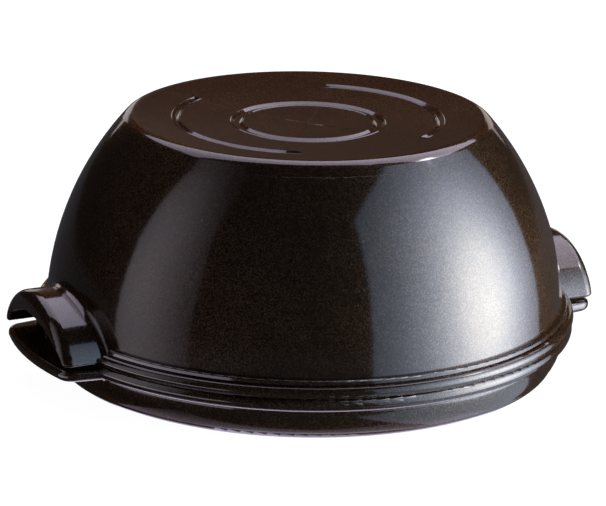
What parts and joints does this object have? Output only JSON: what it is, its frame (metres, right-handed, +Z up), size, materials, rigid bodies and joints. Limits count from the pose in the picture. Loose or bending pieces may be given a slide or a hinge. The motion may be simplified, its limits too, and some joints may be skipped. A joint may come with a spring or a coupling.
{
  "type": "round bread baker",
  "caption": "Round ceramic bread baker: a domed lid with arched ears that rests on a shallow dish with flat handle tabs.",
  "frame": {"origin": "centre of the flat underside of the base, on the table", "axes": "+X through the right handle, +Z up along the axis of the round body, +Y away from the front"},
  "size_m": [0.3174, 0.287, 0.1322],
  "materials": {
    "glaze": "gloss"
  },
  "bodies": {
    "root": {"lid": "glaze", "base": "glaze"}
  },
  "joints": []
}
